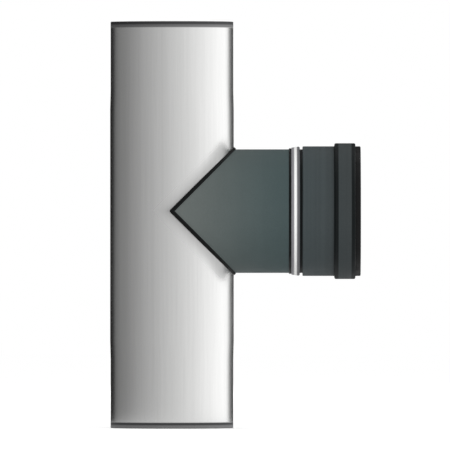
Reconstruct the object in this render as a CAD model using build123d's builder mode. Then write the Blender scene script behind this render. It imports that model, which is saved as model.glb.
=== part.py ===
from build123d import *
from math import cos, degrees, radians, sqrt
import os

# Stove pipe tee for an 80 mm flue. A bright run pipe stands upright, a dark branch pipe of
# the same size is mitred into its side, and the branch ends in a beaded socket with a seal.
# The origin is the middle of the run's lower end, +Z is up the run and +X along the branch.

os.makedirs("parts", exist_ok=True)

# Pipes, both rolled from sheet with a butt-welded seam
pipe_diameter = 80.6  # outside, the same on the run and the branch
pipe_wall = 1.5
run_length = 265.0
branch_height = 141.5  # branch axis above the run's lower end
branch_length = 90.5  # run axis to the outer end of the branch pipe
edge_break = 0.3  # taken off each cut edge of the pipes

# Plug ends of the run, drawn in to enter the next pipe's socket
plug_length = 45.0
plug_draw = 0.3  # how far the wall is drawn in
plug_taper = 12.0  # length of the slope between plug and pipe

# Seam welds, on the sides of the pipes that face away
weld_gap = 1.6  # between the rolled edges
cap_height = 0.5  # of the outer bead over the pipe
cap_round = 4.0  # radius of the outer bead's crown
root_height = 0.3  # of the inner bead
root_round = 2.5
run_seam_azimuth = 135.0  # round the run from the branch, at the back
branch_seam_azimuth = 225.0  # round the branch, low at the back

# Weld bead along the V where the two pipes meet
saddle_bead = 1.3  # radius of the bead

# Socket collar, pressed over the end of the branch pipe
collar_wall = 2.0
collar_overlap = 5.4  # how far it reaches over the branch pipe
socket_clearance = 0.275  # between a plug end and the socket wall
socket_wall_length = 15.0  # straight stretch between its inner step and the bead
step_length = 1.2  # slope from the overlap to the socket wall
bead_width = 13.7  # outside, along the branch
groove_depth = 2.0  # inside the bead
bead_corner = 1.0  # round the bead's shoulders
bead_foot = 0.5  # where the bead rises from the socket
rim_depth = 1.0  # how far the rim hangs below the groove's floor
inner_edge = 0.3  # where the socket wall meets the groove, and round the seal's mouth
collar_corner = 0.6  # on its back edge

# White joint ring round the branch pipe, between a half-round stop wire and the collar
ring_width = 5.6
ring_gap = 1.8  # left open between the ring and the collar
ring_back_height = 1.1
ring_front_height = 1.9
ring_round = 0.8
stop_wire = 0.75  # radius of the wire's half-round section

# Seal, clipped over the collar's rim
seal_gap = 0.08  # between its lips and an entered plug end
seal_relief = 0.75  # from the lips' tips to the seal's body
seal_side_gap = 0.3  # between the seal and the groove's back wall
seal_nose = 3.4  # how far it stands out of the collar
seal_nose_round = 0.7
throat_gap = 0.15  # from the lips' tips to the narrow end of the lead-in slope
throat_inset = 0.6  # how far that end lies behind the rim
lead_in_rise = 0.7  # of the slope that guides a plug end in
lip_count = 2
lip_inset = 1.2  # from the seal's back face to the first lip
lip_pitch = 3.4
lip_width = 2.4
lip_lean = 0.6  # from a lip's foot to its tip, along the branch

# Radii that follow from the sizes above
pipe_radius = pipe_diameter / 2
bore_radius = pipe_radius - pipe_wall
plug_radius = pipe_radius - plug_draw
socket_radius = plug_radius + socket_clearance
collar_radius = socket_radius + collar_wall
groove_radius = socket_radius + groove_depth
bead_radius = groove_radius + collar_wall
rim_radius = groove_radius - rim_depth
lip_radius = plug_radius + seal_gap
seal_radius = lip_radius + seal_relief
throat_radius = lip_radius + throat_gap
collar_weld_leg = pipe_wall - edge_break

# Places along the branch, from the run's axis
collar_back = branch_length - collar_overlap
ring_front = collar_back - ring_gap
ring_back = ring_front - ring_width
stop_back = ring_back - 2 * stop_wire
step_back = branch_length + collar_weld_leg
socket_back = step_back + step_length
groove_back = socket_back + socket_wall_length
bead_back = groove_back - collar_wall
bead_front = bead_back + bead_width
groove_front = bead_front - collar_wall
seal_back = groove_back + seal_side_gap
throat_back = groove_front - throat_inset
mouth = bead_front + seal_nose

branch_axis = Axis((0, 0, branch_height), (1, 0, 0))
branch_plane = Plane(origin=(0, 0, branch_height), x_dir=(1, 0, 0), z_dir=(0, -1, 0))
gap_angle = degrees(weld_gap / pipe_radius)


# Section of the run's wall, radius across and height up, with a plug at each end
run_outline = [
    (plug_radius, 0),
    (plug_radius, plug_length),
    (pipe_radius, plug_length + plug_taper),
    (pipe_radius, run_length - plug_length - plug_taper),
    (plug_radius, run_length - plug_length),
    (plug_radius, run_length),
]
with BuildSketch(Plane.XZ) as run_section:
    with BuildLine():
        Polyline(run_outline, [(r - pipe_wall, z) for r, z in reversed(run_outline)], close=True)
    make_face()
    run_ends = run_section.vertices().group_by(Axis.Y)
    chamfer(run_ends[0] + run_ends[-1], edge_break)

# Section of the branch's wall, length across and radius up
with BuildSketch(branch_plane) as branch_section:
    with BuildLine():
        Polyline(
            (0, bore_radius),
            (branch_length, bore_radius),
            (branch_length, pipe_radius),
            (0, pipe_radius),
            close=True,
        )
    make_face()
    branch_end = branch_section.vertices().group_by(Axis.X)[-1]
    chamfer(branch_end.sort_by(Axis.Y)[0], edge_break)

# Space in front of the two mitre planes: the branch keeps it and the run is cut out of it
with BuildPart() as branch_space:
    with BuildSketch(branch_plane):
        Polygon((0, 0), (mouth, mouth), (mouth, -mouth), align=None)
    extrude(amount=pipe_diameter, both=True)

# Both pipes as solid bars, to trim what stands on their skins
with BuildPart() as pipe_bars:
    with BuildSketch(Plane.XY):
        Circle(pipe_radius)
    extrude(amount=run_length)
    with BuildSketch(Plane.YZ):
        with Locations((0, branch_height)):
            Circle(pipe_radius)
    extrude(amount=branch_length)


# Run pipe: a sheet rolled round until its edges are a weld gap apart
with BuildPart() as run_tube:
    revolve(
        run_section.sketch.rotate(Axis.Z, run_seam_azimuth + gap_angle / 2),
        axis=Axis.Z,
        revolution_arc=360 - gap_angle,
    )
    add(branch_space.part, mode=Mode.SUBTRACT)
run_tube.part.label = "run_tube"
export_step(run_tube.part, "parts/run_tube.step")

# Seam of the run: it fills the gap, and is planed flush on the plug ends
cap_stretch = run_length - 2 * (plug_length + plug_taper)
with BuildPart() as run_seam_weld:
    revolve(
        run_section.sketch.rotate(Axis.Z, run_seam_azimuth - gap_angle / 2),
        axis=Axis.Z,
        revolution_arc=gap_angle,
    )
    with BuildSketch(Plane.XY.offset(plug_length + plug_taper)):
        with PolarLocations(pipe_radius + cap_height - cap_round, 1, start_angle=run_seam_azimuth):
            Circle(cap_round)
        Circle(pipe_radius, mode=Mode.SUBTRACT)
    extrude(amount=cap_stretch)
    with BuildSketch(Plane.XY.offset(plug_length + plug_taper)):
        with PolarLocations(bore_radius - root_height + root_round, 1, start_angle=run_seam_azimuth):
            Circle(root_round)
        Circle(bore_radius, mode=Mode.INTERSECT)
    extrude(amount=cap_stretch)
run_seam_weld.part.label = "run_seam_weld"
export_step(run_seam_weld.part, "parts/run_seam_weld.step")

# Branch pipe: rolled in the same way, its inner end cut to the two mitre planes
with BuildPart() as branch_tube:
    revolve(
        branch_section.sketch.rotate(branch_axis, branch_seam_azimuth + gap_angle / 2),
        axis=branch_axis,
        revolution_arc=360 - gap_angle,
    )
    add(branch_space.part, mode=Mode.INTERSECT)
branch_tube.part.label = "branch_tube"
export_step(branch_tube.part, "parts/branch_tube.step")

# Seam of the branch: its outer bead runs from the V's bead to the stop wire, and is planed
# flush under the wire, the ring and the collar
cap_back = pipe_radius * abs(cos(radians(branch_seam_azimuth))) + 3 * saddle_bead
cap_plane = Plane(origin=(cap_back, 0, branch_height), x_dir=(0, 0, 1), z_dir=(1, 0, 0))
with BuildPart() as branch_seam_weld:
    revolve(
        branch_section.sketch.rotate(branch_axis, branch_seam_azimuth - gap_angle / 2),
        axis=branch_axis,
        revolution_arc=gap_angle,
    )
    add(branch_space.part, mode=Mode.INTERSECT)
    with BuildSketch(cap_plane):
        with PolarLocations(pipe_radius + cap_height - cap_round, 1, start_angle=branch_seam_azimuth):
            Circle(cap_round)
        Circle(pipe_radius, mode=Mode.SUBTRACT)
    extrude(amount=stop_back - cap_back)
branch_seam_weld.part.label = "branch_seam_weld"
export_step(branch_seam_weld.part, "parts/branch_seam_weld.step")

# Bead along the V: one round section swept along each half ellipse, where a mitre plane
# meets the pipes' skins, and trimmed to both skins
saddle_plane = Plane(origin=(0, 0, branch_height), x_dir=(0, 1, 0), z_dir=(1, 0, -1))
run_out = 2 * saddle_bead
with BuildPart() as saddle_weld:
    with BuildLine(saddle_plane) as upper_joint:
        Line((pipe_radius, -run_out), (pipe_radius, 0))
        EllipticalCenterArc((0, 0), pipe_radius, pipe_radius * sqrt(2), start_angle=0, arc_size=180)
        Line((-pipe_radius, 0), (-pipe_radius, -run_out))
    with BuildSketch(Plane(origin=upper_joint.line @ 0, z_dir=upper_joint.line % 0)):
        Circle(saddle_bead)
    sweep()
    split(bisect_by=Plane.XY.offset(branch_height), keep=Keep.TOP)
    mirror(about=Plane.XY.offset(branch_height))
    add(pipe_bars.part, mode=Mode.SUBTRACT)
saddle_weld.part.label = "saddle_weld"
export_step(saddle_weld.part, "parts/saddle_weld.step")


def section(outline):
    """Closed section on the branch's plane: (place along it, radius, corner's rounding)."""
    with BuildSketch(branch_plane) as drawn:
        with BuildLine():
            FilletPolyline(
                [(x, r) for x, r, rounding in outline],
                radius=[rounding for x, r, rounding in outline],
                close=True,
            )
        make_face()
    return drawn.sketch


# Stop wire: half-round, laid on the pipe's skin against the ring's back
with BuildPart() as ring_stop:
    with BuildSketch(branch_plane):
        with Locations((ring_back - stop_wire, pipe_radius)):
            Circle(stop_wire)
        with Locations((ring_back, pipe_radius)):
            Rectangle(4 * stop_wire, stop_wire, align=(Align.CENTER, Align.MAX), mode=Mode.SUBTRACT)
    revolve(axis=branch_axis)
ring_stop.part.label = "ring_stop"
export_step(ring_stop.part, "parts/ring_stop.step")

# White ring: it rises from the pipe's skin towards the collar's, and stands just clear of it
with BuildPart() as joint_ring:
    revolve(
        section(
            [
                (ring_back, pipe_radius, 0),
                (ring_back, pipe_radius + ring_back_height, ring_round),
                (ring_front, pipe_radius + ring_front_height, ring_round),
                (ring_front, pipe_radius, 0),
            ]
        ),
        axis=branch_axis,
    )
joint_ring.part.label = "joint_ring"
export_step(joint_ring.part, "parts/joint_ring.step")

# Collar: bored out to the pipe's skin over the overlap, then the socket wall, the hollow
# bead that holds the seal, and the rim turned in at its front
with BuildPart() as socket_collar:
    revolve(
        section(
            [
                (collar_back, pipe_radius, 0),
                (collar_back, collar_radius, collar_corner),
                (bead_back, collar_radius, bead_foot),
                (bead_back, bead_radius, bead_corner),
                (bead_front, bead_radius, bead_corner),
                (bead_front, rim_radius, 0),
                (groove_front, rim_radius, 0),
                (groove_front, groove_radius, 0),
                (groove_back, groove_radius, 0),
                (groove_back, socket_radius, inner_edge),
                (socket_back, socket_radius, 0),
                (step_back, pipe_radius, 0),
            ]
        ),
        axis=branch_axis,
    )
socket_collar.part.label = "socket_collar"
export_step(socket_collar.part, "parts/socket_collar.step")

# Fillet weld in the corner between the branch pipe's end and the collar's inside
with BuildPart() as collar_weld:
    with BuildSketch(branch_plane):
        with BuildLine():
            pipe_leg = Line((branch_length, pipe_radius - collar_weld_leg), (branch_length, pipe_radius))
            collar_leg = Line(pipe_leg @ 1, (step_back, pipe_radius))
            RadiusArc(collar_leg @ 1, pipe_leg @ 0, 2 * collar_weld_leg)
        make_face()
    revolve(axis=branch_axis)
collar_weld.part.label = "collar_weld"
export_step(collar_weld.part, "parts/collar_weld.step")

# Seal: it fills the bead's groove, passes under the rim and ends in a nose outside it.
# Inside it has lips that lean away from the mouth, and a slope that leads a plug end in.
lips = []
for lip in range(lip_count):
    foot = seal_back + lip_inset + lip * lip_pitch
    lips += [
        (foot, seal_radius, 0),
        (foot + lip_lean, lip_radius, 0),
        (foot + lip_width, seal_radius, 0),
    ]
with BuildPart() as mouth_seal:
    revolve(
        section(
            [
                (groove_front, groove_radius, 0),
                (seal_back, groove_radius, 0),
                (seal_back, seal_radius, 0),
                *lips,
                (throat_back - throat_inset, seal_radius, 0),
                (throat_back, throat_radius, 0),
                (mouth, throat_radius + lead_in_rise, inner_edge),
                (mouth, collar_radius, seal_nose_round),
                (bead_front, collar_radius, 0),
                (bead_front, rim_radius, 0),
                (groove_front, rim_radius, 0),
            ]
        ),
        axis=branch_axis,
    )
mouth_seal.part.label = "mouth_seal"
export_step(mouth_seal.part, "parts/mouth_seal.step")
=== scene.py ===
from math import cos, pi, radians, sin, sqrt

import bpy
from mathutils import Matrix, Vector


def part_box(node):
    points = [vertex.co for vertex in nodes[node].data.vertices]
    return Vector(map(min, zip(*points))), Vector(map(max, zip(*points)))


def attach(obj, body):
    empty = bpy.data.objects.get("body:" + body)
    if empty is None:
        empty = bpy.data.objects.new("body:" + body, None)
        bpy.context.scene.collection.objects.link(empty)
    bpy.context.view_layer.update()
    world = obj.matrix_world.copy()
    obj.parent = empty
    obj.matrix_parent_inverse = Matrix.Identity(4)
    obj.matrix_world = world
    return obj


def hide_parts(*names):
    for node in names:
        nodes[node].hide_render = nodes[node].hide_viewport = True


# Stove pipe tee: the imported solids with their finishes, and rippled beads over their welds.
# Metres, Z up the run and X along the branch. The photograph looks along +Y.

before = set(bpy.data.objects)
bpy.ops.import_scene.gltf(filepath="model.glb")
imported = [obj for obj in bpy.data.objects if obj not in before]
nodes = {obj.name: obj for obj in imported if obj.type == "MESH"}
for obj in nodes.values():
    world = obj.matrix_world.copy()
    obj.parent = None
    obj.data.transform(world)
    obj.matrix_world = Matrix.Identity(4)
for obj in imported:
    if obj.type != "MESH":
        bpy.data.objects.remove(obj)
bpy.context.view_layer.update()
scene = bpy.context.scene
MM = 0.001

# Sizes and places read from the frame
run_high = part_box("run_tube")[1]
branch_low, branch_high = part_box("branch_tube")
ring_low, ring_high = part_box("joint_ring")
collar_low, collar_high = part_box("socket_collar")
saddle_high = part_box("saddle_weld")[1]
pipe_radius = run_high.x
run_length = run_high.z
branch_height = (branch_low.z + branch_high.z) / 2
saddle_radius = saddle_high.x - pipe_radius

# Sizes that the boxes don't give
pipe_wall = 1.5 * MM
plug_reach = 57 * MM  # a plug end with its slope
socket_bead_width = 13.7 * MM  # of the collar's raised bead
run_seam_turn = radians(135)  # round the run from the branch, at the back
branch_seam_turn = radians(225)  # round the branch from the front, over its top, low at the back

# Rippled beads of weld
seam_half_width = 2.05 * MM
seam_height = 0.66 * MM
root_half_width = 1.3 * MM  # inside the run
root_height = 0.45 * MM
seam_depth = 0.3 * MM  # of what lies in the wall
tip_share = 0.12  # of a bead's full size, left at its very end

# Sockets of a mix node that is set to colours
mix_share = 0
mix_first = 6
mix_second = 7
mix_result = 2


def linear(step):
    """The share of light in a picture's 0 to 255 step, by the usual curve of pictures."""
    share = step / 255
    return ((share + 0.055) / 1.055) ** 2.4 if share > 0.04045 else share / 12.92


def paint(red, green, blue):
    """A colour that is given in the 0 to 255 steps of a picture."""
    return (linear(red), linear(green), linear(blue), 1)


def node(tree, kind, inputs=None, **settings):
    """Adds a node with its settings. Each input is a value, or a socket to link from."""
    made = tree.nodes.new(kind)
    for name, value in settings.items():
        setattr(made, name, value)
    for name, value in (inputs or {}).items():
        if isinstance(value, bpy.types.NodeSocket):
            tree.links.new(value, made.inputs[name])
        else:
            made.inputs[name].default_value = value
    return made


def calc(tree, operation, first, second=0.0):
    """One step of arithmetic on values or sockets."""
    return node(tree, "ShaderNodeMath", {0: first, 1: second}, operation=operation).outputs[0]


def product(tree, first, *others):
    """Values or sockets multiplied together."""
    result = first
    for other in others:
        result = calc(tree, "MULTIPLY", result, other)
    return result


def object_vector(tree):
    """The point's place in the frame."""
    return node(tree, "ShaderNodeTexCoord").outputs["Object"]


def object_place(tree):
    """The point's place in the frame as three values, X, Y and Z."""
    return node(tree, "ShaderNodeSeparateXYZ", {"Vector": object_vector(tree)}).outputs


def smooth_step(tree, value, start, end, low=0.0, high=1.0):
    """Turns smoothly from low to high as a value goes from start to end."""
    limits = {"Value": value, "From Min": start, "From Max": end, "To Min": low, "To Max": high}
    return node(tree, "ShaderNodeMapRange", limits, interpolation_type="SMOOTHSTEP").outputs[0]


def between(tree, value, low, high, softness):
    """1 where a value lies between low and high, fading over softness at both."""
    half = calc(tree, "MULTIPLY", softness, 0.5)

    def change(limit, before, after):
        """Turns from before to after as the value passes a limit."""
        start = calc(tree, "SUBTRACT", limit, half)
        end = calc(tree, "ADD", limit, half)
        return smooth_step(tree, value, start, end, before, after)

    return product(tree, change(low, 0.0, 1.0), change(high, 1.0, 0.0))


def noise(tree, place, scale, detail, roughness=0.5):
    """Soft random grey from 0 to 1, with scale patches to each unit of place."""
    inputs = {"Vector": place, "Scale": scale, "Detail": detail, "Roughness": roughness}
    return node(tree, "ShaderNodeTexNoise", inputs).outputs[0]


def patches(tree, size, detail, roughness=0.5):
    """Soft random grey from 0 to 1, in patches about size metres across."""
    return noise(tree, object_vector(tree), calc(tree, "DIVIDE", 1.0, size), detail, roughness)


def tone_from(tree, grey, strength):
    """A tone that swings about 1, from a grey that swings about a half."""
    swing = calc(tree, "MULTIPLY", calc(tree, "SUBTRACT", grey, 0.5), strength)
    return calc(tree, "ADD", swing, 1.0)


def mixed(tree, share, first, second, blend="MIX"):
    """One colour turning, as share goes from 0 to 1, into another or into what blend makes."""
    colours = {mix_share: share, mix_first: first, mix_second: second}
    made = node(tree, "ShaderNodeMix", colours, data_type="RGBA", blend_type=blend)
    return made.outputs[mix_result]


def toned(tree, colour, tone):
    """A colour made lighter or darker by a tone near 1."""
    channels = {"Red": tone, "Green": tone, "Blue": tone}
    grey = node(tree, "ShaderNodeCombineColor", channels).outputs[0]
    return mixed(tree, 1.0, colour, grey, blend="MULTIPLY")


def effect(name, inputs, outputs):
    """An empty node group with named sockets, its inputs given with their usual values."""
    group = bpy.data.node_groups.new(name, "ShaderNodeTree")
    for label, usual in inputs.items():
        kind = "NodeSocketVector" if isinstance(usual, tuple) else "NodeSocketFloat"
        group.interface.new_socket(name=label, in_out="INPUT", socket_type=kind).default_value = usual
    for label in outputs:
        group.interface.new_socket(name=label, in_out="OUTPUT", socket_type="NodeSocketFloat")
    return group, node(group, "NodeGroupInput").outputs, node(group, "NodeGroupOutput").inputs


def apply_effect(tree, group, **inputs):
    """Places an effect in a material. Its inputs are named with _ for a space."""
    values = {label.replace("_", " "): value for label, value in inputs.items()}
    return node(tree, "ShaderNodeGroup", values, node_tree=group).outputs


def make_grain():
    """Fine lines drawn out along one axis: Lines is how many there are to the metre each way."""
    usual = {"Lines": (900.0, 900.0, 9.0), "Strength": 0.1}
    tree, given, result = effect("Drawn grain", usual, ["Tone", "Height"])
    stretch = {0: object_vector(tree), 1: given["Lines"]}
    stretched = node(tree, "ShaderNodeVectorMath", stretch, operation="MULTIPLY").outputs[0]
    lines = noise(tree, stretched, scale=1.0, detail=4.0, roughness=0.6)
    tree.links.new(tone_from(tree, lines, given["Strength"]), result["Tone"])
    tree.links.new(lines, result["Height"])
    return tree


def make_clouds():
    """Soft patches that are a little lighter or darker, Size metres across."""
    tree, given, result = effect("Cloudy tone", {"Size": 0.03, "Strength": 0.1}, ["Tone", "Mask"])
    clouds = patches(tree, given["Size"], detail=5.0, roughness=0.55)
    tree.links.new(tone_from(tree, clouds, given["Strength"]), result["Tone"])
    tree.links.new(smooth_step(tree, clouds, start=0.42, end=0.64), result["Mask"])
    return tree


def make_skin():
    """The fine unevenness of a sprayed or moulded skin, with specks of Size metres."""
    tree, given, result = effect("Sprayed skin", {"Size": 0.0006}, ["Height"])
    tree.links.new(patches(tree, given["Size"], detail=2.0), result["Height"])
    return tree


def make_band():
    """A mask that is 1 where Place lies between From and To, and fades over Softness."""
    usual = {"Place": 0.0, "From": 0.0, "To": 0.01, "Softness": 0.001}
    tree, given, result = effect("Band", usual, ["Mask"])
    inside = between(tree, given["Place"], given["From"], given["To"], given["Softness"])
    tree.links.new(inside, result["Mask"])
    return tree


def make_end_bands():
    """Dark bands at the run's ends. Mask is all of both bands, and
    Line is the darkest line in each: the very top, and a little above the foot."""
    beyond = 1.0  # past either end
    top_line_starts = run_length - 2.6 * MM
    top_line_full = run_length - 1.4 * MM
    foot_line_starts = 2.2 * MM
    usual = {"Width": 3.9 * MM, "Softness": 0.9 * MM}
    tree, given, result = effect("Dark end bands", usual, ["Mask", "Line"])
    z = object_place(tree)["Z"]
    upper_from = calc(tree, "SUBTRACT", run_length, given["Width"])
    lower = between(tree, z, -beyond, given["Width"], given["Softness"])
    upper = between(tree, z, upper_from, beyond, given["Softness"])
    top_line = smooth_step(tree, z, top_line_starts, top_line_full)
    foot_line = between(tree, z, foot_line_starts, run_length / 2, given["Softness"])
    tree.links.new(calc(tree, "MAXIMUM", lower, upper), result["Mask"])
    tree.links.new(calc(tree, "MAXIMUM", top_line, foot_line), result["Line"])
    return tree


def make_edges():
    """A mask along outer edges, Width metres wide, broken up as handling wears them."""
    tree, given, result = effect("Rubbed edges", {"Width": 0.0006, "Patches": 0.004}, ["Mask"])
    rounded = node(tree, "ShaderNodeBevel", {"Radius": given["Width"]}, samples=4).outputs[0]
    flat = node(tree, "ShaderNodeNewGeometry").outputs["Normal"]
    normals = {0: rounded, 1: flat}
    compared = node(tree, "ShaderNodeVectorMath", normals, operation="DOT_PRODUCT").outputs
    edge = smooth_step(tree, compared["Value"], start=0.97, end=0.8)
    worn = smooth_step(tree, patches(tree, given["Patches"], detail=3.0), start=0.4, end=0.65)
    tree.links.new(product(tree, edge, worn), result["Mask"])
    return tree


drawn_grain = make_grain()
cloudy_tone = make_clouds()
sprayed_skin = make_skin()
band = make_band()
dark_end_bands = make_end_bands()
rubbed_edges = make_edges()


def new_material(name, **constants):
    """A material with one shader, whose unchanging values are set on its own sockets."""
    material = bpy.data.materials.new(name)
    material.use_nodes = True
    tree = material.node_tree
    tree.nodes.clear()
    values = {label.replace("_", " "): value for label, value in constants.items()}
    shader = node(tree, "ShaderNodeBsdfPrincipled", values)
    node(tree, "ShaderNodeOutputMaterial", {"Surface": shader.outputs[0]})
    return material, tree, shader.inputs


def feed(tree, sockets, height, depth, **values):
    """Links the looks into a shader, and turns a height into bump that is depth metres deep."""
    bump = node(tree, "ShaderNodeBump", {"Strength": 1.0, "Distance": depth, "Height": height})
    tree.links.new(bump.outputs[0], sockets["Normal"])
    for label, value in values.items():
        tree.links.new(value, sockets[label.replace("_", " ")])


def patchy(tree, clouds, low, high):
    """A roughness that goes from low to high with an effect's patches."""
    return smooth_step(tree, clouds["Mask"], 0.0, 1.0, low, high)


def with_end_bands(tree, ends, colour, band_colour, line_colour):
    """A colour with the run's dark end bands over it."""
    return mixed(tree, ends["Mask"], colour, mixed(tree, ends["Line"], band_colour, line_colour))


def bright_steel():
    """Light steel with fine lines up the pipe, a dark band at each cut end, and a strip along
    the joint that the weld's heat has dulled, less so towards the pipe's side."""
    sheet_colour = (0.61, 0.61, 0.605, 1)
    band_colour = (0.19, 0.19, 0.192, 1)
    line_colour = (0.062, 0.062, 0.064, 1)
    end_band_roughness = 0.25
    dull_roughness = 0.4
    dull_width = 17 * MM
    fade_start = 29 * MM  # out from the run's axis
    fade_end = 39 * MM
    material, tree, sockets = new_material("Bright steel", Metallic=1.0, Anisotropic=0.85)
    place = object_place(tree)
    fine = apply_effect(tree, drawn_grain, Lines=(1400.0, 1400.0, 14.0), Strength=0.12)
    broad = apply_effect(tree, drawn_grain, Lines=(260.0, 260.0, 4.0), Strength=0.08)
    clouds = apply_effect(tree, cloudy_tone, Size=0.12, Strength=0.06)
    ends = apply_effect(tree, dark_end_bands)
    sheet = toned(tree, sheet_colour, product(tree, fine["Tone"], broad["Tone"], clouds["Tone"]))
    colour = with_end_bands(tree, ends, sheet, band_colour, line_colour)
    from_axis = calc(tree, "ABSOLUTE", calc(tree, "SUBTRACT", place["Z"], branch_height))
    from_joint = calc(tree, "SUBTRACT", from_axis, place["X"])
    dull = smooth_step(tree, from_joint, 0.0, dull_width, dull_roughness, 0.0)
    fading = smooth_step(tree, place["X"], fade_start, fade_end, 1.0, 0.0)
    rough = patchy(tree, clouds, low=0.2, high=0.215)
    rough = calc(tree, "ADD", rough, product(tree, ends["Mask"], end_band_roughness))
    rough = calc(tree, "ADD", rough, product(tree, dull, fading))
    turn = node(tree, "ShaderNodeTangent", direction_type="RADIAL", axis="Z").outputs[0]
    feed(
        tree,
        sockets,
        fine["Height"],
        depth=0.004 * MM,
        Base_Color=colour,
        Roughness=rough,
        Tangent=turn,
    )
    return material


def seam_steel():
    """Weld metal on the bright pipe: duller than the sheet, with painted shade in its ripples'
    valleys and a little lighter on their crests, and the same dark bands at the cut ends as the
    sheet."""
    weld_colour = (0.52, 0.51, 0.49, 1)
    band_colour = (0.17, 0.17, 0.172, 1)
    line_colour = (0.055, 0.055, 0.057, 1)
    material, tree, sockets = new_material("Seam steel", Metallic=1.0)
    # Painted shade: darker deeper in each valley between ripples, a little lighter on the crests.
    valley = node(tree, "ShaderNodeAttribute", attribute_name="valley").outputs["Fac"]
    ripple_shade = smooth_step(tree, valley, start=0.5, end=1.0, low=1.05, high=0.7)
    clouds = apply_effect(tree, cloudy_tone, Size=0.006, Strength=0.3)
    ends = apply_effect(tree, dark_end_bands)
    weld = toned(tree, weld_colour, product(tree, ripple_shade, clouds["Tone"]))
    colour = with_end_bands(tree, ends, weld, band_colour, line_colour)
    rough = patchy(tree, clouds, low=0.34, high=0.48)
    skin = apply_effect(tree, sprayed_skin, Size=0.4 * MM)["Height"]
    feed(tree, sockets, skin, depth=0.01 * MM, Base_Color=colour, Roughness=rough)
    return material


def enamel(name, at_start, at_end, start, end, corners, rolled):
    """Satin heat-proof enamel that darkens along the branch, is painted with near-black shade in each
    of the stretches of the branch that corners lists, and shows the marks of rolling round it."""
    painted_shade = paint(10, 15, 16)
    rubbed = paint(120, 124, 124)
    rubbed_share = 0.25
    material, tree, sockets = new_material(name, Specular_IOR_Level=0.12)
    x = object_place(tree)["X"]
    clouds = apply_effect(tree, cloudy_tone, Size=0.02, Strength=0.16)
    flecks = apply_effect(tree, cloudy_tone, Size=0.8 * MM, Strength=0.22)
    marks = apply_effect(tree, drawn_grain, Lines=(230.0, 2.0, 2.0), Strength=rolled)
    coat = mixed(tree, smooth_step(tree, x, start, end), at_start, at_end)
    colour = toned(tree, coat, product(tree, clouds["Tone"], flecks["Tone"], marks["Tone"]))
    # Painted shade: near black in each listed stretch.
    for low, high in corners:
        shade_mask = apply_effect(tree, band, Place=x, From=low, To=high, Softness=0.8 * MM)["Mask"]
        colour = mixed(tree, shade_mask, colour, painted_shade)
    edges = apply_effect(tree, rubbed_edges, Width=0.5 * MM, Patches=3 * MM)["Mask"]
    colour = mixed(tree, product(tree, edges, rubbed_share), colour, rubbed)
    rough = patchy(tree, clouds, low=0.54, high=0.62)
    peel = apply_effect(tree, sprayed_skin, Size=1.1 * MM)["Height"]
    feed(tree, sockets, peel, depth=0.04 * MM, Base_Color=colour, Roughness=rough)
    return material


def black_weld():
    """Enamelled weld metal, near black, in small patches that are lighter or darker."""
    material, tree, sockets = new_material("Black weld enamel", Specular_IOR_Level=0.12)
    clouds = apply_effect(tree, cloudy_tone, Size=0.004, Strength=0.5)
    colour = toned(tree, paint(5, 7, 7), clouds["Tone"])
    rough = patchy(tree, clouds, low=0.4, high=0.55)
    peel = apply_effect(tree, sprayed_skin, Size=0.5 * MM)["Height"]
    feed(tree, sockets, peel, depth=0.02 * MM, Base_Color=colour, Roughness=rough)
    return material


def white_ring():
    """Smooth white sealing ring, with painted shade on both flanks, lighter on the back flank than
    the front one.
    """
    flank = 1.9 * MM
    crown_from = ring_low.x + flank
    crown_to = ring_high.x - flank
    material, tree, sockets = new_material("White sealing ring", Specular_IOR_Level=0.25)
    x = object_place(tree)["X"]
    crown = apply_effect(tree, band, Place=x, From=crown_from, To=crown_to, Softness=0.9 * MM)
    clouds = apply_effect(tree, cloudy_tone, Size=0.008, Strength=0.12)
    # Painted shade on the flanks, from lighter at the back to darker at the front; the crown keeps
    # the ring's own white.
    across = smooth_step(tree, x, ring_low.x, ring_high.x)
    shaded_flanks = mixed(tree, across, paint(133, 132, 136), paint(92, 92, 95))
    colour = toned(tree, mixed(tree, crown["Mask"], shaded_flanks, paint(250, 250, 249)), clouds["Tone"])
    rough = patchy(tree, clouds, low=0.5, high=0.6)
    peel = apply_effect(tree, sprayed_skin, Size=0.5 * MM)["Height"]
    feed(tree, sockets, peel, depth=0.01 * MM, Base_Color=colour, Roughness=rough)
    return material


def black_seal():
    """Moulded black silicone with a faint dusty bloom."""
    bloom_share = 0.35
    material, tree, sockets = new_material("Black silicone", Specular_IOR_Level=0.15)
    clouds = apply_effect(tree, cloudy_tone, Size=0.01, Strength=0.3)
    bloom = product(tree, clouds["Mask"], bloom_share)
    colour = mixed(tree, bloom, paint(10, 10, 11), paint(22, 22, 23))
    rough = patchy(tree, clouds, low=0.5, high=0.65)
    peel = apply_effect(tree, sprayed_skin, Size=0.4 * MM)["Height"]
    feed(tree, sockets, peel, depth=0.01 * MM, Base_Color=colour, Roughness=rough)
    return material


def flue_enamel():
    """The enamel of the branch pipe, with painted shade in the gap between the ring and the collar.
    """
    return enamel(
        "Dark flue enamel",
        at_start=paint(99, 105, 103),
        at_end=paint(67, 81, 82),
        start=-5 * MM,
        end=80 * MM,
        corners=[(ring_high.x, collar_low.x)],
        rolled=0.08,
    )


def collar_enamel():
    """The enamel of the collar, with painted shade at the back and the front corner of its raised
    bead.
    """
    bead_back = collar_high.x - socket_bead_width
    corner = 2.6 * MM  # of the bead, along the branch
    # Painted shade reaches this far onto the wall behind the bead.
    onto_wall = 0.4 * MM  # of the dark behind the bead
    return enamel(
        "Collar enamel",
        at_start=paint(64, 72, 74),
        at_end=paint(55, 60, 61),
        start=collar_low.x,
        end=collar_high.x,
        corners=[
            (bead_back - onto_wall, bead_back + corner),
            (collar_high.x - corner, collar_high.x + corner),
        ],
        rolled=0.45,
    )


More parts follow.
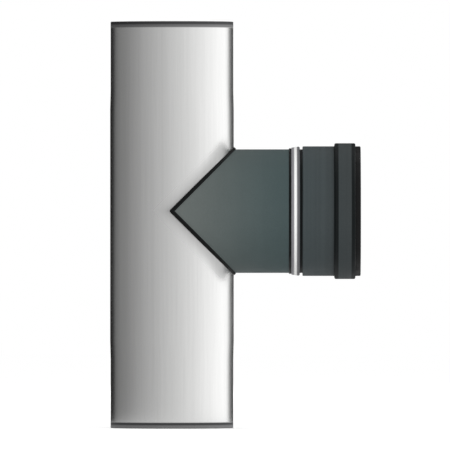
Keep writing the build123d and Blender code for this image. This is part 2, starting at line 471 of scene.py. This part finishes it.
steel = bright_steel()
seam_metal = seam_steel()
pipe_enamel = flue_enamel()
socket_enamel = collar_enamel()
weld_enamel = black_weld()
finishes = {
    "run_tube": steel,
    "run_seam_weld": seam_metal,
    "branch_tube": pipe_enamel,
    "branch_seam_weld": pipe_enamel,
    "saddle_weld": weld_enamel,
    # The ring stop wears the near-black weld enamel as painted shade: a dark line where the ring
    # meets the branch.
    "ring_stop": weld_enamel,
    "collar_weld": weld_enamel,
    "joint_ring": white_ring(),
    "socket_collar": socket_enamel,
    "mouth_seal": black_seal(),
}
for name, material in finishes.items():
    nodes[name].data.materials.clear()
    nodes[name].data.materials.append(material)


def add_mesh(name, points, faces, material):
    """An object of one mesh and one material, in the scene."""
    mesh = bpy.data.meshes.new(name)
    mesh.from_pydata(points, [], faces)
    mesh.validate()
    mesh.materials.append(material)
    made = bpy.data.objects.new(name, mesh)
    scene.collection.objects.link(made)
    return made


def tube_faces(first, rings, around):
    """Faces between rings of points that are numbered from first on."""
    faces = []
    for ring in range(rings - 1):
        start = first + ring * around
        for step in range(around):
            a = start + step
            b = start + (step + 1) % around
            faces.append((a, b, b + around, a + around))
    return faces


def weld_bead(name, spines, half_width, height, depth, material):
    """A bead of weld with crescent ripples along each spine. A spine lists its stations:
    the point, the ways out and sideways, the distance along, and the share of full size.
    Each point keeps how deep it lies in a valley between two ripples, for the shade that the seam
    steel paints there."""
    pitch = 1.8 * MM
    crescent = 0.9 * MM  # how far a ripple's sides run ahead of its middle
    ripple_depth = 0.16  # share of the bead's height
    plain_crest = 0.6  # how far up a ripple the bead has its plain size
    side_swell = 0.3  # share of a ripple that shows sideways
    around = 18
    points = []
    valleys = []
    faces = []
    for spine in spines:
        first = len(points)
        for point, out, sideways, along, share in spine:
            for step in range(around):
                turn = 2 * pi * step / around
                trail = along - crescent * cos(turn) ** 2
                crest = abs(sin(pi * trail / pitch))
                swell = 1 + ripple_depth * (crest - plain_crest)
                reach = height * swell if sin(turn) > 0 else depth
                side_reach = half_width * (1 + side_swell * (swell - 1))
                offset = sideways * (side_reach * cos(turn)) + out * (reach * sin(turn))
                points.append(point + offset * share)
                valleys.append(1 - crest)
        last = len(points) - around
        faces += tube_faces(first, len(spine), around)
        faces.append(tuple(first + step for step in reversed(range(around))))
        faces.append(tuple(last + step for step in range(around)))
    made = add_mesh(name, points, faces, material)
    made.data.attributes.new("valley", "FLOAT", "POINT").data.foreach_set("value", valleys)
    made.data.shade_smooth()
    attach(made, "root")
    return made


def straight_spine(start, end, out, end_radius):
    """Stations of a straight bead, with round ends."""
    station = 0.3 * MM
    line = end - start
    count = round(line.length / station)
    sideways = line.normalized().cross(out)
    spine = []
    for step in range(count + 1):
        along = line.length * step / count
        from_end = min(along, line.length - along)
        inward = max(0.0, 1 - from_end / end_radius)
        share = min(1, sqrt(1 - inward**2) + tip_share)
        spine.append((start + line * (step / count), out, sideways, along, share))
    return spine


def joint_spine(side):
    """Stations along the upper (side 1) or lower (side -1) half of the joint, from the V's
    point at the front, over the branch to the one at the back, with round ends past each."""
    stations = 520
    end_stations = 4
    spine = []
    along = 0.0
    last = None
    for step in range(-end_stations, stations + end_stations + 1):
        turn = pi * min(max(step, 0), stations) / stations
        reach = pipe_radius * sin(turn)
        on_joint = Vector((reach, -pipe_radius * cos(turn), branch_height + side * reach))
        # The way out here is the sum of the ways out of both pipes' skins
        out = Vector((sin(turn), -2 * cos(turn), side * sin(turn))).normalized()
        onward = Vector((cos(turn), sin(turn), side * cos(turn))).normalized()
        past = max(-step, step - stations, 0) / end_stations * saddle_radius
        point = on_joint + onward * (past if step > 0 else -past)
        along += (point - last).length if last else 0.0
        last = point
        share = max(tip_share, sqrt(max(0.0, 1 - (past / saddle_radius) ** 2)))
        spine.append((point, out, onward.cross(out), along, share))
    return spine


def joint_bead():
    """The black bead along the whole joint, in place of the smooth one."""
    saddle_bead = weld_bead(
        "saddle_bead",
        [joint_spine(1), joint_spine(-1)],
        half_width=saddle_radius,
        height=saddle_radius,
        depth=saddle_radius,
        material=weld_enamel,
    )
    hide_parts("saddle_weld")


def run_seam_beads():
    """The beads outside and inside the run, over the smooth ones and a little past their ends."""
    up = Vector((0, 0, 1))
    out = Vector((cos(run_seam_turn), sin(run_seam_turn), 0))
    seam_start = plug_reach - seam_half_width
    foot = up * seam_start
    head = up * (run_length - seam_start)
    skin = out * pipe_radius
    bore = out * (pipe_radius - pipe_wall)
    outer = straight_spine(skin + foot, skin + head, out, seam_half_width)
    inner = straight_spine(bore + foot, bore + head, -out, seam_half_width)
    weld_bead(
        "run_seam_bead",
        [outer],
        half_width=seam_half_width,
        height=seam_height,
        depth=seam_depth,
        material=seam_metal,
    )
    weld_bead(
        "run_seam_root",
        [inner],
        half_width=root_half_width,
        height=root_height,
        depth=seam_depth,
        material=seam_metal,
    )


def branch_seam_bead():
    """The bead outside the branch, from just clear of the joint's bead to the ring's back."""
    out = Vector((0, -cos(branch_seam_turn), sin(branch_seam_turn)))
    skin = Vector((0, 0, branch_height)) + out * pipe_radius
    joint_reach = pipe_radius * abs(cos(branch_seam_turn))
    clearance = 3 * saddle_radius  # of the smooth bead from the joint
    start = skin + Vector((joint_reach + clearance - seam_half_width, 0, 0))
    end = skin + Vector((ring_low.x, 0, 0))
    weld_bead(
        "branch_seam_bead",
        [straight_spine(start, end, out, seam_half_width)],
        half_width=seam_half_width,
        height=seam_height,
        depth=seam_depth,
        material=pipe_enamel,
    )


joint_bead()
run_seam_beads()
branch_seam_bead()


def seen_directly(tree):
    """1 for what the camera, a gloss or clear glass sees, and 0 for light that only falls."""
    rays = node(tree, "ShaderNodeLightPath").outputs
    seen = calc(tree, "MAXIMUM", rays["Is Camera Ray"], rays["Is Glossy Ray"])
    return calc(tree, "MAXIMUM", seen, rays["Is Transmission Ray"])


def pale_floor():
    """A wide pale floor, lifted to white where it is seen, which keeps the tee's shadow."""
    reach = 7.0
    colour = (0.84, 0.84, 0.84, 1)
    lift = 0.39
    corners = [(-reach, -reach, 0), (reach, -reach, 0), (reach, reach, 0), (-reach, reach, 0)]
    material, tree, sockets = new_material("Pale floor", Roughness=1.0, Specular_IOR_Level=0.0)
    clouds = apply_effect(tree, cloudy_tone, Size=0.4, Strength=0.02)
    tree.links.new(toned(tree, colour, clouds["Tone"]), sockets["Base Color"])
    sockets["Emission Color"].default_value = (1, 1, 1, 1)
    tree.links.new(product(tree, seen_directly(tree), lift), sockets["Emission Strength"])
    floor = add_mesh("studio_floor", corners, [(0, 1, 2, 3)], material)


def graded_card(white_to, card_from):
    """Glowing card whose grey changes round the tee. It is the floor's white up to white_to
    metres out from the run's axis, and its own grey from card_from."""
    tones = {  # turn in degrees from the front, + towards the branch: brightness
        -180: 0.45,
        -170: 0.38,
        -163: 0.0,
        -132: 0.0,
        -127: 0.235,
        -88: 0.345,
        -53: 0.54,
        -20: 0.73,
        8: 0.91,
        34: 1.10,
        64: 1.36,
        113: 1.72,
        123: 1.66,
        130: 0.30,
        138: 0.0,
        163: 0.0,
        170: 0.38,
        180: 0.45,
    }
    brightest = max(tones.values())
    material = bpy.data.materials.new("Graded card")
    material.use_nodes = True
    tree = material.node_tree
    tree.nodes.clear()
    place = object_place(tree)
    x = place["X"]
    y = place["Y"]
    turn = calc(tree, "ARCTAN2", x, calc(tree, "MULTIPLY", y, -1.0))
    turn_share = calc(tree, "ADD", calc(tree, "DIVIDE", turn, 2 * pi), 0.5)
    ramp = node(tree, "ShaderNodeValToRGB", {"Fac": turn_share})
    stops = ramp.color_ramp.elements
    for index, (degrees, tone) in enumerate(tones.items()):
        position = degrees / 360 + 0.5
        stop = stops[index] if index < len(stops) else stops.new(position)
        stop.position = position
        grey = tone / brightest
        stop.color = (grey, grey, grey, 1)
    card = calc(tree, "MULTIPLY", ramp.outputs["Color"], brightest)
    out_squared = calc(tree, "ADD", calc(tree, "MULTIPLY", x, x), calc(tree, "MULTIPLY", y, y))
    card_share = smooth_step(tree, calc(tree, "SQRT", out_squared), white_to, card_from)
    past_white = product(tree, calc(tree, "SUBTRACT", card, 1.0), card_share)
    glow = node(tree, "ShaderNodeEmission", {"Strength": calc(tree, "ADD", past_white, 1.0)})
    node(tree, "ShaderNodeOutputMaterial", {"Surface": glow.outputs[0]})
    return material


def reflection_tent():
    """Card round the tee that only a gloss sees: an upright tube, and a flat apron inside it
    that turns to the floor's white near the tee. The bright pipe takes its run of greys from
    it, lighter towards the branch."""
    radius = 0.38
    top = 0.6
    apron_inside = 0.09
    card_from = 0.34
    apron_lift = 0.3 * MM
    around = 96
    rings = [(apron_inside, apron_lift), (radius, apron_lift), (radius, top)]
    turns = [2 * pi * side / around for side in range(around)]
    points = [(out * cos(turn), out * sin(turn), height) for out, height in rings for turn in turns]
    faces = tube_faces(0, len(rings), around)
    tent = add_mesh("reflection_tent", points, faces, graded_card(apron_inside, card_from))
    tent.visible_camera = False
    tent.visible_diffuse = False
    tent.visible_transmission = False
    tent.visible_shadow = False


def plain_world():
    """White where it is seen, and a plain level of light everywhere else."""
    level = 0.72
    world = bpy.data.worlds.new("Plain studio")
    world.use_nodes = True
    tree = world.node_tree
    tree.nodes.clear()
    lift = product(tree, seen_directly(tree), 1 - level)
    light = {"Color": (1, 1, 1, 1), "Strength": calc(tree, "ADD", lift, level)}
    background = node(tree, "ShaderNodeBackground", light)
    node(tree, "ShaderNodeOutputWorld", {"Surface": background.outputs[0]})
    scene.world = world


def soft_lamp(name, place, power):
    """A large soft lamp aimed at the tee's middle, which leaves no bright square in the steel."""
    middle_x = 30 * MM
    middle = Vector((middle_x, 0, branch_height))
    lamp = bpy.data.lights.new(name, "AREA")
    lamp.size = 1.6
    lamp.energy = power
    made = bpy.data.objects.new(name, lamp)
    made.location = place
    made.rotation_euler = (middle - Vector(place)).to_track_quat("-Z", "Y").to_euler()
    made.visible_glossy = False
    scene.collection.objects.link(made)


def photo_camera():
    """Looks square on at the branch's side, from far off, so that the view is nearly flat."""
    distance = 12.2
    frame_width = 293.5 * MM  # of the photograph, at the pipe's axis
    view_x = 34.6 * MM  # what its middle shows
    view_z = 132.45 * MM
    camera = bpy.data.cameras.new("photo_camera")
    camera.lens = camera.sensor_width * distance / frame_width
    camera.clip_end = 40
    made = bpy.data.objects.new("photo_camera", camera)
    made.location = (view_x, -distance, view_z)
    made.rotation_euler = (radians(90), 0, 0)
    scene.collection.objects.link(made)
    scene.camera = made


pale_floor()
reflection_tent()
plain_world()
soft_lamp("key_lamp", place=(1.0, -2.6, 1.0), power=27)
soft_lamp("back_lamp", place=(-1.0, 2.6, 1.2), power=20)
photo_camera()
scene.view_settings.view_transform = "Standard"
